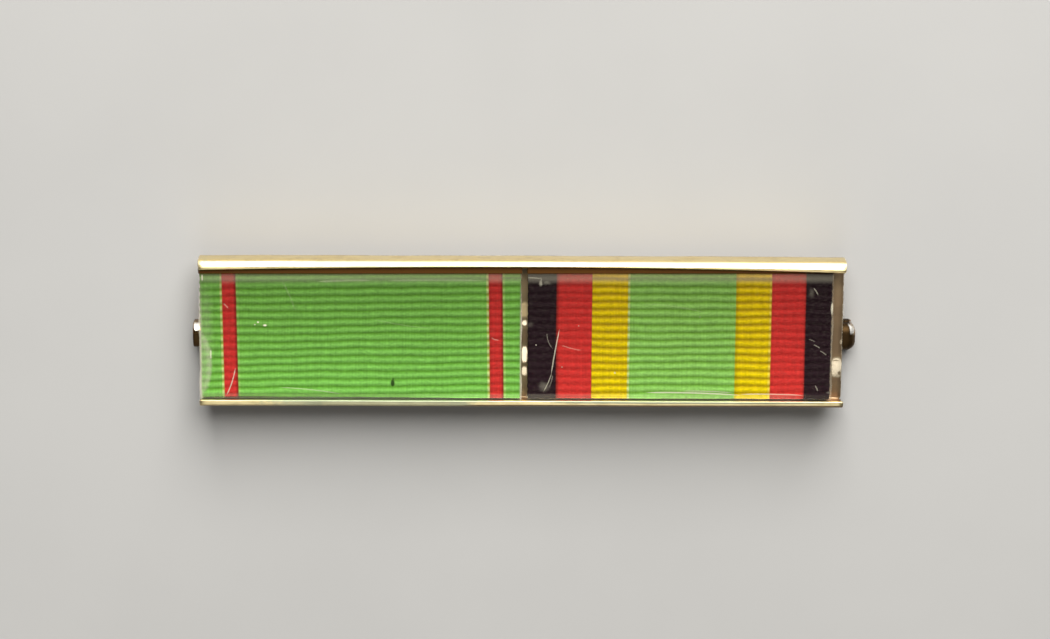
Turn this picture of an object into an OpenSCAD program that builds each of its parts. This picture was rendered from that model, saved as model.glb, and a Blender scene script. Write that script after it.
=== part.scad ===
// A two-place ribbon bar: a gilt brass rail folded from sheet, two ribbon units held in it side by side,
// and a hinge, a needle and a hook on its back.
// The bar lies face up. +X runs along it, +Y across it, and +Z points out of the ribbons.
// The origin is in the plane that the hinge and the hook rest on, below the middle of the whole bar.

/* [Rail] */
// Height of the rail over its outside, across the bar
rail_h = 11.8; // [9:0.1:16]
// Depth of the rail from its back to the face of its lips
rail_d = 2.3; // [2:0.05:4]
// Thickness of the brass sheet
sheet_t = 0.3; // [0.2:0.05:0.4]
// Inner radius of the folds in the sheet
fold_r = 0.12; // [0.05:0.01:0.25]
// Reach of each lip past the inside of its wall
lip_reach = 0.25; // [0.15:0.05:0.8]
// Radius of the rail's four corners, seen from the front
corner_r = 0.3; // [0.05:0.05:0.3]
// Length of bare floor at the rail's right end
bare_end = 0.95; // [0.2:0.05:4]

/* [Ribbon units] */
// Width of the left unit over its film
left_w = 25.28; // [15:0.01:40]
// Width of the right unit over its film
right_w = 24; // [15:0.1:40]
// Gap between the two units
unit_gap = 0.4; // [0.1:0.05:2]
// Gap from the rail's left end to the left unit
end_inset = 0.02; // [0.02:0.01:0.5]
// Clearance between the rail and a film, a film and its ribbon, and a ribbon and the rail
clearance = 0.05; // [0.03:0.01:0.08]
// Thickness of the clear film
film_t = 0.2; // [0.1:0.02:0.3]
// Inner radius of the film's two long bends
film_r = 0.15; // [0.1:0.01:0.25]
// Reach of the film past each end of its ribbon
film_side = 0.08; // [0.04:0.02:0.4]
// Radius of the ribbon's long edges, where it is wound round
ribbon_r = 0.4; // [0.3:0.05:0.55]
// Distance from rib to rib of the ribbon
rib_pitch = 0.61; // [0.4:0.01:1.2]
// Height of the ribs
rib_h = 0.05; // [0.02:0.01:0.08]

/* [Fittings] */
// Depth of the hinge and the hook behind the rail
fitting_d = 2.2; // [1.9:0.05:4]
// Distance of the hinge, the needle and the hook below the rail's middle
fitting_drop = 0.75; // [0:0.05:2]
// Width of the hook across the bar
hook_w = 2.1; // [1.9:0.05:4]
// Length of the hook along the bar
hook_l = 2.4; // [1.2:0.1:6]
// Reach of the hook past the rail's left end
hook_out = 0.63; // [0.2:0.01:1.5]
// Thickness of the hook's strip
hook_t = 0.35; // [0.25:0.05:0.5]
// Inner radius of the hook's folds
hook_r = 0.3; // [0.1:0.05:0.4]
// Height of the mouth in the hook's side
mouth_h = 0.85; // [0.75:0.05:1.2]
// Height of the rim that keeps the needle in the hook
rim_h = 0.4; // [0.2:0.05:0.5]
// Width of the hinge across the bar
hinge_w = 2.2; // [1.8:0.05:5]
// Length of the hinge's plate along the bar
hinge_l = 3.6; // [2.8:0.1:8]
// Reach of the hinge past the rail's right end
hinge_out = 1.1; // [0.2:0.1:2]
// Thickness of the hinge's plate
hinge_t = 0.45; // [0.3:0.05:0.6]
// Thickness of each of the hinge's two ears
ear_t = 0.42; // [0.3:0.02:0.6]
// Radius of the hinge's outer shoulders
shoulder_r = 0.4; // [0.1:0.05:0.5]
// Radius of the hinge's end, where its plate turns down
end_r = 0.7; // [0.2:0.05:0.9]
// Diameter of the rivet
rivet_d = 0.6; // [0.4:0.05:0.8]
// Diameter of the rivet's heads
head_d = 0.95; // [0.85:0.05:1.3]
// Height of the rivet's heads
head_h = 0.08; // [0.05:0.01:0.3]
// Diameter of the needle
needle_d = 0.7; // [0.5:0.05:0.8]
// Length of the needle's ground point
point_l = 2.4; // [1:0.1:5]
// Wall of the needle's eye round the rivet
eye_wall = 0.3; // [0.2:0.05:0.35]
// Running clearance of the needle at the rivet, between the ears and in the hook
needle_gap = 0.05; // [0.03:0.01:0.08]
// Distance of the needle's tip inside the hook's far end
tip_inset = 1.1; // [0.2:0.1:2]

/* [Hidden] */
$fn = 64;
// Depth that soldered pieces share with the rail
solder = 0.05;
// Margin by which a cut passes the face that it opens
past = 0.5;

// Stations along the bar
rail_l = end_inset + left_w + unit_gap + right_w + bare_end;
rail_x0 = hook_out - (hook_out + rail_l + hinge_out) / 2;
rail_x1 = rail_x0 + rail_l;
left_x = rail_x0 + end_inset;
right_x = left_x + left_w + unit_gap;
hook_x0 = rail_x0 - hook_out;
hinge_x1 = rail_x1 + hinge_out;

// Heights from the plane that the fittings rest on
floor_z = fitting_d + sheet_t;
lip_z = fitting_d + rail_d - sheet_t;
unit_z = floor_z + clearance;
needle_z = hook_t + needle_gap + needle_d / 2;

// Sizes of one ribbon unit, which the rail's inside sets
film_h = rail_h - 2 * (sheet_t + clearance);
film_d = lip_z - clearance - unit_z;
ribbon_h = film_h - 2 * (film_t + clearance);
ribbon_d = film_d - film_t - clearance;
rib_n = floor(ribbon_h / rib_pitch);
rib_r = (rib_pitch * rib_pitch / 4 + rib_h * rib_h) / (2 * rib_h);

// Sizes of the hinge, which turns about the rivet
ear_r = needle_z;
pivot_x = hinge_x1 - ear_r;
eye_w = hinge_w - 2 * (ear_t + needle_gap);
hole_r = rivet_d / 2 + needle_gap;
tip_x = hook_x0 + tip_inset;

// A rectangle w wide and h high with four round corners, which stands on y = 0
module rounded(w, h, r) {
    translate([-w / 2 + r, 0]) square([w - 2 * r, h]);
    translate([-w / 2, r]) square([w, h - 2 * r]);
    for (x = [-w / 2 + r, w / 2 - r], y = [r, h - r])
        translate([x, y]) circle(r);
}

// A rectangle w wide and h high with its two upper corners round
module arch(w, h, r) {
    translate([-w / 2, 0]) square([w, h - r]);
    translate([-w / 2 + r, 0]) square([w - 2 * r, h]);
    for (x = [-w / 2 + r, w / 2 - r])
        translate([x, h - r]) circle(r);
}

// Carries a section drawn across the bar along it, from x0 for the length l
module along_bar(x0, l) {
    translate([x0, 0, 0]) rotate([90, 0, 90]) linear_extrude(l) children();
}

// Carries a section drawn in the plane of the needle's swing across the bar, w wide about its middle
module across_bar(w) {
    translate([0, -fitting_drop, 0]) rotate([90, 0, 0]) linear_extrude(w, center = true) children();
}

// The folded sheet: a floor, two walls and two lips, open at both ends
module channel() {
    opening = rail_h - 2 * (sheet_t + lip_reach);
    intersection() {
        along_bar(rail_x0, rail_l) difference() {
            translate([0, fitting_d]) rounded(rail_h, rail_d, fold_r + sheet_t);
            translate([0, floor_z]) rounded(rail_h - 2 * sheet_t, lip_z - floor_z, fold_r);
            translate([-opening / 2, (floor_z + lip_z) / 2]) square([opening, rail_d]);
        }
        translate([(rail_x0 + rail_x1) / 2, -rail_h / 2, 0])
            linear_extrude(fitting_d + rail_d + past) rounded(rail_l, rail_h, corner_r);
    }
}

// A strip folded into a box that is open on one side, for the needle's point
module hook() {
    along_bar(hook_x0, hook_l) translate([-fitting_drop, 0]) {
        difference() {
            rounded(hook_w, fitting_d, hook_t + hook_r);
            translate([0, hook_t]) rounded(hook_w - 2 * hook_t, fitting_d - 2 * hook_t, hook_r);
            translate([-hook_w / 2 - past, hook_t + rim_h]) square([hook_w / 2 + past, mouth_h]);
        }
        translate([-hook_w / 4, fitting_d - solder]) square([hook_w / 2, 2 * solder]);
    }
}

// A bracket with a plate under the rail, a turned-down end and two ears about the rivet
module hinge() {
    plate_x0 = hinge_x1 - hinge_l;
    difference() {
        intersection() {
            across_bar(hinge_w) {
                translate([plate_x0, fitting_d - hinge_t])
                    square([hinge_l - end_r, hinge_t + solder]);
                translate([pivot_x - ear_r, needle_z])
                    square([2 * ear_r - end_r, fitting_d - needle_z]);
                translate([hinge_x1 - 2 * end_r, needle_z])
                    square([2 * end_r, fitting_d - end_r - needle_z]);
                translate([hinge_x1 - end_r, fitting_d - end_r]) circle(end_r);
                translate([pivot_x, needle_z]) circle(ear_r);
            }
            along_bar(plate_x0, hinge_l) translate([-fitting_drop, 0])
                arch(hinge_w, fitting_d + solder, shoulder_r);
        }
        across_bar(hinge_w - 2 * ear_t)
            translate([pivot_x - ear_r - past, -past])
                square([2 * (ear_r + past), fitting_d - hinge_t + past]);
    }
}

// The rivet that the needle turns on, with a flat head outside each ear
module rivet() {
    across_bar(hinge_w + head_h) translate([pivot_x, needle_z]) circle(d = rivet_d);
    for (side = [-1, 1])
        translate([0, side * (hinge_w + head_h) / 2, 0])
            across_bar(head_h) translate([pivot_x, needle_z]) circle(d = head_d);
}

// The rail with its hook, hinge and rivet, soldered into one piece
module rail() {
    color([0.85, 0.70, 0.38]) {
        channel();
        hook();
        hinge();
        rivet();
    }
}

// A straight needle with an eye round the rivet and a point that lies in the hook
module needle() {
    neck_x = pivot_x - hole_r - eye_wall / 2;
    color([0.80, 0.66, 0.38]) {
        translate([0, -fitting_drop, needle_z]) rotate([0, 90, 0]) {
            translate([0, 0, tip_x + point_l])
                cylinder(h = neck_x - tip_x - point_l, d = needle_d);
            translate([0, 0, tip_x])
                cylinder(h = point_l, d1 = needle_d / 8, d2 = needle_d);
        }
        across_bar(eye_w) translate([pivot_x, needle_z]) difference() {
            circle(hole_r + eye_wall);
            circle(hole_r);
        }
    }
}

// A ribbon w wide, wound round flat, with its ribs along the bar
module ribbon(x0, w) {
    along_bar(x0 + film_side, w - 2 * film_side)
        translate([0, unit_z]) intersection() {
            rounded(ribbon_h, ribbon_d, ribbon_r);
            union() {
                translate([-ribbon_h / 2, 0]) square([ribbon_h, ribbon_d / 2]);
                for (i = [0:rib_n - 1])
                    translate([(i - (rib_n - 1) / 2) * rib_pitch, ribbon_d - rib_r]) circle(rib_r);
            }
        }
}

// A clear film w wide, bent over the face and the two long edges of its ribbon
module film(x0, w) {
    along_bar(x0, w) translate([0, unit_z]) difference() {
        arch(film_h, film_d, film_r + film_t);
        translate([0, -past]) arch(film_h - 2 * film_t, film_d - film_t + past, film_r);
    }
}

// The ribbon of the left unit
module ribbon_left() {
    color([0.44, 0.67, 0.28]) ribbon(left_x, left_w);
}

// The ribbon of the right unit
module ribbon_right() {
    color([0.78, 0.20, 0.18]) ribbon(right_x, right_w);
}

// The film of the left unit
module film_left() {
    color([0.92, 0.96, 0.94, 0.3]) film(left_x, left_w);
}

// The film of the right unit
module film_right() {
    color([0.92, 0.96, 0.94, 0.3]) film(right_x, right_w);
}

rail();
needle();
ribbon_left();
ribbon_right();
film_left();
film_right();
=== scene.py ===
"""Dresses a two-place ribbon bar: a gilt rail with its hook, hinge, rivet and needle, two ribbons wound
round flat, and a clear film bent over each. It lies face up on a pale floor. +X runs along the bar, +Y
across it and +Z out of the ribbons. Places are in metres, in the frame's own axes."""

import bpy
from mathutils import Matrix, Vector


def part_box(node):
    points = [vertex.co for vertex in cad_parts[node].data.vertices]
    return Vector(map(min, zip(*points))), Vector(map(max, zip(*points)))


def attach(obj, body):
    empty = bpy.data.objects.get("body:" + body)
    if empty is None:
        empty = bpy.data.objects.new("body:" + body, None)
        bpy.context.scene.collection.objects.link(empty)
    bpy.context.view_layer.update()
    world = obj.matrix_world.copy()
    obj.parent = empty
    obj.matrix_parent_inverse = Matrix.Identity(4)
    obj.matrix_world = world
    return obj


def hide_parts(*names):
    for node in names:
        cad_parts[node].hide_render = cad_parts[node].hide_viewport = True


bl_info = {
    "name": "Ribbon Bar",
    "version": (1, 0, 0),
    "blender": (4, 5, 0),
    "location": "View3D > Sidebar > Ribbon Bar",
    "description": "Builds a ribbon bar: its rail and fittings, its ribbons, its films and a stage",
    "category": "Add Mesh",
}

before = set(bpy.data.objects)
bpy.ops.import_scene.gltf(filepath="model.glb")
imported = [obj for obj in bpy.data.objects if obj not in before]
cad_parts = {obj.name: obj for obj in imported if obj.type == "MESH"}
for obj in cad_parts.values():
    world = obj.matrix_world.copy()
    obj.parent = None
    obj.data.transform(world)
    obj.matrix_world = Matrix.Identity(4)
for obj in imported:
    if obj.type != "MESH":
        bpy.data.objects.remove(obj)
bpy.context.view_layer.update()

import math

import bpy
import numpy as np
from bpy.props import FloatProperty, FloatVectorProperty, PointerProperty
from mathutils import Euler, Vector

MM = 0.001
PI = math.pi


def corners(node):
    """A node's lowest and highest corners, as two arrays."""
    low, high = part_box(node)
    return np.array(low), np.array(high)


# Places that the frame gives
RAIL_LOW, RAIL_HIGH = corners("rail")
NEEDLE_LOW, NEEDLE_HIGH = corners("needle")
FILMS = {side: corners("film_" + side) for side in ("left", "right")}
RIBBONS = {side: corners("ribbon_" + side) for side in ("left", "right")}
FITTINGS_Y = (NEEDLE_LOW[1] + NEEDLE_HIGH[1]) / 2
NEEDLE_Z = (NEEDLE_LOW[2] + NEEDLE_HIGH[2]) / 2
GAP_X = (FILMS["left"][1][0] + FILMS["right"][0][0]) / 2


# Sizes and colours that a user may change

def length(name, description, default):
    """A length, whose default is given in millimetres and kept in metres."""
    return FloatProperty(name=name, description=description, default=default * MM, unit="LENGTH",
                         subtype="DISTANCE", precision=6, min=0)


def angle(name, description, default):
    """An angle in radians, which Blender shows in degrees."""
    return FloatProperty(name=name, description=description, default=default, subtype="ANGLE")


def brightness(name, description, default):
    """A light's brightness, as its radiance."""
    return FloatProperty(name=name, description=description, default=default, min=0)


def colour(name, description, default):
    """A colour, in linear light."""
    return FloatVectorProperty(name=name, description=description, default=default, size=3, min=0, max=1,
                               subtype="COLOR")


class RailSizes(bpy.types.PropertyGroup):
    """Sizes of the folded rail."""
    sheet: length("Sheet", "Thickness of the brass sheet", 0.3)
    depth: length("Depth", "Depth from the rail's back to the face of its lips", 2.3)
    fold: length("Fold", "Inner radius of the folds between the floor and the walls", 0.12)
    lip_fold: length("Lip fold", "Inner radius of the fold between the upper wall and its lip", 0.24)
    lower_fold: length("Lower fold", "Inner radius of the fold between the lower wall and its lip", 0.12)
    lip: length("Lip", "Reach of each lip past the inside of its wall", 0.25)
    flare: length("Flare", "How much further the upper lip reaches at the rail's ends", 0.32)
    lift: angle("Lift", "Angle by which the upper lip stands up from square", math.radians(18))
    lower_lift: angle("Lower lift", "Angle by which the lower lip stands up from square", math.radians(4))
    inset: length("Inset", "Gap from the rail's left end to the left film", 0.02)
    bare: length("Bare end", "Length of bare floor right of the right film", 0.95)
    corner: length("Corner", "Radius of the corners of the lips and of the folds", 0.3)
    bow: length("Bow", "How far the upper wall swells outward at its middle, against its ends", 0.03)
    edge: length("Edge", "Width over which a cut edge is rounded", 0.06)


class FittingSizes(bpy.types.PropertyGroup):
    """Sizes of the hook, the hinge, the rivet and the needle."""
    hook_width: length("Hook width", "Width of the hook across the bar", 2.1)
    hook_length: length("Hook length", "Length of the hook along the bar", 2.4)
    hook_sheet: length("Hook sheet", "Thickness of the hook's strip", 0.35)
    hook_round: length("Hook round", "Outer radius of the hook's bends", 0.8)
    mouth_top: length("Mouth", "Height of the upper edge of the hook's mouth", 1.6)
    hinge_width: length("Hinge width", "Width of the hinge across the bar", 2.2)
    hinge_length: length("Hinge length", "Length of the hinge along the bar", 3.6)
    hinge_sheet: length("Hinge sheet", "Thickness of the hinge's sheet", 0.43)
    hinge_round: length("Hinge round", "Radius of the hinge's shoulders and of its end", 0.74)
    rivet: length("Rivet", "Diameter of the rivet", 0.6)
    rivet_head: length("Rivet head", "Diameter of the rivet's heads", 0.95)
    needle: length("Needle", "Diameter of the needle", 0.7)
    point: length("Point", "Length of the needle's ground point", 2.4)
    solder: length("Solder", "Width of the solder round each fitting", 0.16)


class RibbonSizes(bpy.types.PropertyGroup):
    """Sizes of the ribbons and of their weave."""
    thickness: length("Thickness", "Thickness of the ribbon over its ribs", 0.36)
    layer: length("Layer", "Distance from one layer of the winding to the next", 0.49)
    crease: length("Crease", "Radius of the ribbon's middle in its sharp lower bends", 0.05)
    rib: length("Rib", "Distance from rib to rib", 0.61)
    relief: length("Relief", "Height of the ribs", 0.07)
    thread: length("Thread", "Distance from one warp thread to the next", 0.12)
    waver: length("Waver", "How far the ribs wander along the ribbon", 0.05)
    skew: angle("Skew", "How far the left ribbon is turned in the rail", 0.014)


class FilmSizes(bpy.types.PropertyGroup):
    """Sizes of the clear films."""
    thickness: length("Thickness", "Thickness of the film", 0.2)
    fold: length("Fold", "Inner radius of the film's two bends", 0.15)
    wave: length("Wave", "Height of the film's slow waves", 0.004)


class Finishes(bpy.types.PropertyGroup):
    """Colours of the bar."""
    gilt: colour("Gilt", "Polished gilding", (1.0, 0.82, 0.42))
    tarnish: colour("Tarnish", "Tarnished brass inside the rail", (0.27, 0.142, 0.076))
    stain: colour("Stain", "Stained brass of the hook and the hinge", (0.30, 0.16, 0.06))
    needle: colour("Needle", "Gilt wire of the needle", (0.86, 0.74, 0.52))
    solder: colour("Solder", "Solder round the fittings", (0.62, 0.58, 0.50))
    green: colour("Green", "Green threads of the left ribbon", (0.157, 0.375, 0.066))
    second_green: colour("Second green", "Green threads of the right ribbon", (0.201, 0.397, 0.084))
    red: colour("Red", "Red threads", (0.430, 0.0225, 0.0185))
    yellow: colour("Yellow", "Yellow threads", (0.577, 0.422, 0.0008))
    black: colour("Black", "Black threads", (0.0135, 0.0050, 0.0076))
    pale: colour("Pale", "Pale threads between two stripes", (0.90, 0.72, 0.38))
    # The films' dust colour, which also paints their reflections near the bends and the glints along the
    # ends
    haze_and_glints: colour("Haze", "Dust and scratches on the films", (0.93, 0.86, 0.64))
    # Grime on the films, with painted shade and the painted dark reflection of the upper lip
    grime_and_lip_shade: colour("Grime", "Brown grime on the films along the upper lip", (0.105, 0.040, 0.006))


class StageSettings(bpy.types.PropertyGroup):
    """The camera's place and the lights."""
    tilt: angle("Tilt", "Camera's angle from straight above", math.radians(13.25))
    lean: angle("Lean", "Camera's angle along the bar", math.radians(-0.7208))
    roll: angle("Roll", "Camera's turn about its own line", math.radians(0.3624))
    distance: length("Distance", "Camera's distance from the bar", 271.6)
    lens: FloatProperty(name="Lens", subtype="DISTANCE_CAMERA", default=118.744,
                        description="Focal length on a sensor 36 mm wide")
    aim: FloatVectorProperty(name="Aim", subtype="TRANSLATION", default=(0.0000458, 0.0010409, 0.0037),
                             description="Point that the camera looks at, from the middle of the gap")
    floor: colour("Floor", "Colour of the floor", (0.50, 0.488, 0.462))
    key: brightness("Key", "Brightness of the large light", 9.3)
    near: brightness("Near", "Brightness of the strip on the near side", 1.5)
    low: brightness("Low", "Brightness of the low strip on the near side", 1.25)
    card: brightness("Card", "Brightness of the low card on the far side", 1.4)
    sky: brightness("Sky", "Brightness of the dim light all round", 0.02)


# Shapes: sheets, bent paths and turned pieces

# Steps in which a sheet's rounded edge is drawn
EDGE_STEPS = 5


def rim(distance, edge):
    """How full a sheet is at a distance from its edge: a quarter circle that rises from 0 to 1 over its
    width."""
    return np.sqrt(1 - (1 - np.clip(distance / edge, 0, 1)) ** 2)


def circle(count):
    """Even angles round a circle."""
    return np.linspace(0, 2 * PI, count, endpoint=False)


def squared(turn, power):
    """A unit circle drawn towards a square: its cosine and its sine, each with its size to a power
    below 1."""
    return [np.sign(one) * np.abs(one) ** power for one in (np.cos(turn), np.sin(turn))]


def stacked(x, y, z):
    """A grid of points from three grids, rows or columns of numbers."""
    return np.stack(np.broadcast_arrays(x, y, z), axis=-1)


def flat_grid(rows, columns):
    """A flat place for each point of a grid, for patterns."""
    return np.stack(np.meshgrid(rows, columns, indexing="ij"), axis=-1).reshape(-1, 2)


def with_edges(marks, edge):
    """Marks along a sheet, with those inside either edge's width replaced by steps that close up as a
    cosine does."""
    close = edge * (1 - np.cos(np.linspace(0, PI / 2, EDGE_STEPS + 1)))
    total, clear = marks[-1], edge * 1.02
    inside = marks[(marks > clear) & (marks < total - clear)]
    return np.concatenate([close, inside, total - close[::-1]])


def leg_marks(legs, counts):
    """Marks along a bent strip: each leg is cut into its own number of even steps."""
    ends = np.cumsum([0] + [leg[0] for leg in legs])
    steps = [np.linspace(ends[i], ends[i + 1], count, endpoint=False) for i, count in enumerate(counts)]
    return np.concatenate(steps + [ends[-1:]])


def follow(start, heading, legs, marks):
    """Places on a bent strip seen end on, at the marks along it, and their unit normals on the right of
    the way. A leg is (length, turn). With no turn it is straight, and otherwise an arc of radius length
    / turn, where the place is the arc's centre plus that radius times the sine and the cosine of the
    heading."""
    marks = np.asarray(marks, dtype=float)
    place = np.zeros((len(marks), 2))
    faced = np.zeros(len(marks))
    at, way, done = np.array(start, dtype=float), heading, 0.0
    for size, turn in legs:
        on = (marks >= done - 1e-9)
        step = np.minimum(marks - done, size)
        if turn:
            radius = size / turn
            now = way + step / radius
            y = at[0] + radius * (np.sin(now) - math.sin(way))
            z = at[1] - radius * (np.cos(now) - math.cos(way))
            last = way + turn
            end = at + radius * np.array([math.sin(last) - math.sin(way), math.cos(way) - math.cos(last)])
        else:
            now = np.full(len(marks), way)
            y = at[0] + step * math.cos(way)
            z = at[1] + step * math.sin(way)
            end = at + size * np.array([math.cos(way), math.sin(way)])
        place[on, 0], place[on, 1], faced[on] = y[on], z[on], now[on]
        at, way, done = end, way + turn, done + size
    return place, np.stack([np.sin(faced), -np.cos(faced)], axis=1)


def carried(profile, normals, along):
    """Carries a profile seen end on along the bar: a grid of points and normals, a row for each place
    along X."""
    rows, columns = len(along), len(profile)
    points = np.zeros((rows, columns, 3))
    points[..., 0] = along[:, None]
    points[..., 1:] = profile[None]
    facing = np.zeros((rows, columns, 3))
    facing[..., 1:] = normals[None]
    return points, facing


def grid_normals(points):
    """Unit normals of a grid of points: the cross product of its two directions at each point."""
    normal = np.cross(np.gradient(points, axis=1), np.gradient(points, axis=0))
    return normal / np.maximum(np.linalg.norm(normal, axis=2, keepdims=True), 1e-12)


def quads(numbers):
    """The four corners of each cell of a grid of point numbers."""
    corners_of = (numbers[:-1, :-1], numbers[:-1, 1:], numbers[1:, 1:], numbers[1:, :-1])
    return np.stack(corners_of, axis=-1).reshape(-1, 4)


def rounded_sheet(middle, normals, along, across, front, back, edge, pattern=None, open_end=False):
    """A closed sheet. Each face of a grid of middle points lies off it along the normal by its own half
    thickness, times rim() of the distance from the ends and from the sides, so both faces meet in a
    round edge. With an open end, the last row keeps its thickness."""
    from_end = along - along[0]
    if not open_end:
        from_end = np.minimum(from_end, along[-1] - along)
    from_side = np.minimum(across - across[0], across[-1] - across)
    full = rim(from_end, edge)[:, None] * rim(from_side, edge)[None, :]
    upper = middle + normals * (front * full)[..., None]
    lower = middle - normals * (back * full)[..., None]
    numbers = np.arange(full.size).reshape(full.shape)
    rear = numbers + full.size
    rear[0], rear[:, 0], rear[:, -1] = numbers[0], numbers[:, 0], numbers[:, -1]
    if not open_end:
        rear[-1] = numbers[-1]
    if pattern is None:
        pattern = flat_grid(along, across)
    return shape(np.concatenate([upper.reshape(-1, 3), lower.reshape(-1, 3)]),
                 np.concatenate([quads(numbers), quads(rear)[:, ::-1]]),
                 np.concatenate([pattern.reshape(-1, 2)] * 2),
                 np.repeat([0.0, 1.0], full.size))


def turned(rings):
    """A closed piece from rings of points: each ring joins the next, and the first and last close to a
    point."""
    rows, columns = rings.shape[:2]
    numbers = np.arange(rows * columns).reshape(rows, columns)
    poles = rows * columns + np.arange(2)
    wrapped = np.concatenate([numbers, numbers[:, :1]], axis=1)
    caps = [np.stack([np.full(columns, pole), row[1:], row[:-1], row[:-1]], axis=1)
            for pole, row in ((poles[0], wrapped[0]), (poles[1], wrapped[-1][::-1]))]
    points = np.concatenate([rings.reshape(-1, 3), rings[[0, -1]].mean(axis=1)])
    pattern = flat_grid(np.linspace(0, 1, rows), np.linspace(0, 1, columns))
    pattern = np.concatenate([pattern, [[0, 0.5], [1, 0.5]]])
    return shape(points, np.concatenate([quads(wrapped), *caps]), pattern, np.zeros(len(points)))


def looped(rings):
    """A closed ring-shaped piece: a grid of points that is joined round both ways."""
    rows, columns = rings.shape[:2]
    numbers = np.arange(rows * columns).reshape(rows, columns)
    wrapped = np.pad(numbers, ((0, 1), (0, 1)), mode="wrap")
    pattern = flat_grid(np.linspace(0, 1, rows), np.linspace(0, 1, columns))
    return shape(rings.reshape(-1, 3), quads(wrapped), pattern, np.zeros(rows * columns))


def shape(points, faces, pattern, inner):
    """A closed shape as arrays: points, faces, a flat place of each point for patterns, and 1 where it
    is inside. Its faces are turned round if the volume under them, a sixth of the sum of their corners'
    triple products, is below nought. Points that no face uses are left out."""
    a, b, c, d = (points[faces[:, i]] for i in range(4))
    volume = (np.einsum("ij,ij->i", a, np.cross(b, c)) + np.einsum("ij,ij->i", a, np.cross(c, d))).sum()
    if volume < 0:
        faces = faces[:, ::-1]
    used, order = np.unique(faces, return_inverse=True)
    return {"points": points[used], "faces": order.reshape(faces.shape), "pattern": pattern[used],
            "inner": inner[used]}


def joined(*shapes):
    """Several closed shapes as one."""
    starts = np.cumsum([0] + [len(one["points"]) for one in shapes[:-1]])
    whole = {key: np.concatenate([one[key] for one in shapes]) for key in ("points", "pattern", "inner")}
    whole["faces"] = np.concatenate([one["faces"] + start for one, start in zip(shapes, starts)])
    return whole


def put_mesh(name, whole, material, replaces):
    """Makes a smooth object of a shape with its material, hangs it on the root body, and hides the CAD part
    that it stands for."""
    mesh = bpy.data.meshes.new(name)
    faces = [list(dict.fromkeys(face)) for face in whole["faces"].tolist()]
    mesh.from_pydata(whole["points"], [], faces)
    mesh.update()
    corner_points = np.zeros(len(mesh.loops), dtype=np.int32)
    mesh.loops.foreach_get("vertex_index", corner_points)
    layer = mesh.uv_layers.new(name="Pattern")
    layer.uv.foreach_set("vector", whole["pattern"][corner_points].astype(np.float32).ravel())
    inside = mesh.attributes.new("inside", "FLOAT", "POINT")
    inside.data.foreach_set("value", whole["inner"].astype(np.float32))
    mesh.shade_smooth()
    mesh.materials.append(material)
    piece = bpy.data.objects.new(name, mesh)
    bpy.context.scene.collection.objects.link(piece)
    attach(piece, "root")
    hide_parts(replaces)
    return piece


def run(x):
    """A place along the bar as a number from -1 at the hook's end to 1 at the hinge's end."""
    return 2 * (x - RAIL_LOW[0]) / (RAIL_HIGH[0] - RAIL_LOW[0]) - 1


def settled(points, bow):
    """Bends the bar's upper side as the rail's is: Y grows by bow * (0.55 - s * s), where s runs from
    -1 to 1 along the bar, times Y's own share of the half height above the middle."""
    moved = points.copy()
    moved[..., 1] += bow * (0.55 - run(points[..., 0]) ** 2) * np.clip(points[..., 1] / RAIL_HIGH[1], 0, 1)
    return moved


def corner_cut(distance, radius):
    """How far a round corner stands back from a straight end, at a distance from the side: the radius
    less the height of its circle."""
    off = radius - np.clip(distance, 0, radius)
    return radius - np.sqrt(radius ** 2 - off ** 2)


# Shader nodes

class Value:
    """One output of a shader node. Sums with it put Math nodes into the same tree."""

    def __init__(self, tree, socket):
        self.tree = tree
        self.socket = socket

    def __add__(self, other):
        return calc("ADD", self, other)

    def __sub__(self, other):
        return calc("SUBTRACT", self, other)

    def __rsub__(self, other):
        return calc("SUBTRACT", other, self)

    def __mul__(self, other):
        return calc("MULTIPLY", self, other)

    def __truediv__(self, other):
        return calc("DIVIDE", self, other)

    def __rtruediv__(self, other):
        return calc("DIVIDE", other, self)

    def __pow__(self, other):
        return calc("POWER", self, other)

    def __abs__(self):
        return calc("ABSOLUTE", self)


def fill(socket, value):
    """Gives a socket a value, or links a node's output to it."""
    if isinstance(value, Value):
        value.tree.links.new(value.socket, socket)
    else:
        socket.default_value = value


def put(tree, kind, inputs=None, **settings):
    """Adds a node, sets its settings and fills its inputs. Returns its outputs."""
    node = tree.nodes.new("ShaderNode" + kind)
    for key, value in settings.items():
        setattr(node, key, value)
    for key, value in (inputs or {}).items():
        fill(node.inputs[key], value)
    return node.outputs


def get(tree, kind, output, inputs=None, **settings):
    """Adds a node and returns one of its outputs as a value."""
    return Value(tree, put(tree, kind, inputs, **settings)[output])


def tree_of(values):
    """The tree that the first node output among some values is in."""
    return next(value.tree for value in values if isinstance(value, Value))


def calc(operation, *values, clamp=False):
    """A sum in one Math node."""
    return get(tree_of(values), "Math", 0, dict(enumerate(values)), operation=operation, use_clamp=clamp)


def most(first, *others):
    """The greatest of several values."""
    for other in others:
        first = calc("MAXIMUM", first, other)
    return first


def vector_calc(operation, *values, output=0, **named):
    """A sum in one Vector Math node."""
    inputs = {**dict(enumerate(values)), **named}
    return get(tree_of(inputs.values()), "VectorMath", output, inputs, operation=operation)


def stretched(vector, scale):
    """A vector with each of its numbers scaled by its own factor."""
    return vector_calc("MULTIPLY", vector, scale)


def parts(value, kind="XYZ"):
    """The three numbers of a vector, or of a colour."""
    return [Value(value.tree, socket) for socket in put(value.tree, "Separate" + kind, {0: value})]


def combined(*numbers):
    """A vector of two or three numbers."""
    return get(tree_of(numbers), "CombineXYZ", 0, dict(enumerate(numbers)))


def ramp(value, low, high, to_low=0.0, to_high=1.0, smooth=True):
    """Maps a value from one range to another, held at both ends."""
    inputs = {"Value": value, "From Min": low, "From Max": high, "To Min": to_low, "To Max": to_high}
    kind = "SMOOTHSTEP" if smooth else "LINEAR"
    return get(value.tree, "MapRange", "Result", inputs, interpolation_type=kind)


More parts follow.
